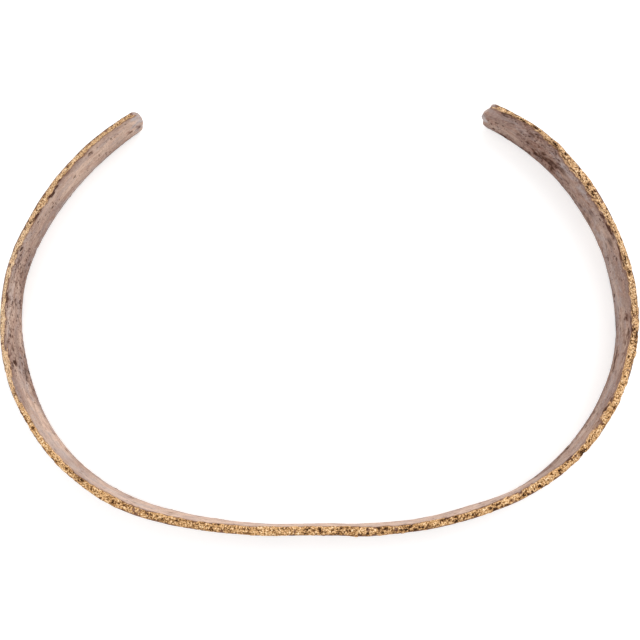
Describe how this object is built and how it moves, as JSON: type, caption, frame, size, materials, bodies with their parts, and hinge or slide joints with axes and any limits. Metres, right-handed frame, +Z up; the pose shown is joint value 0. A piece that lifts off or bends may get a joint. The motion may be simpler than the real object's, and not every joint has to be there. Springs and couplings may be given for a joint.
{
  "type": "bronze torc",
  "caption": "Open neck ring bent on edge from flat bronze strip, with plain worn terminals, bright granular rims and a dull mauve-brown patina on its faces.",
  "frame": {"origin": "on the plane that the lower rim lies on, under the middle of the ring's box", "axes": "+X across the ring's width, towards the right terminal's side; +Y from the back of the ring towards the gap between the terminals; +Z up, from the lower rim to the upper one"},
  "size_m": [0.1394, 0.096, 0.012],
  "materials": {
    "bronze": "old bronze: mauve-brown patina on the faces, rims worn to pitted golden metal"
  },
  "bodies": {
    "root": {"torc_band": "bronze"}
  },
  "joints": []
}
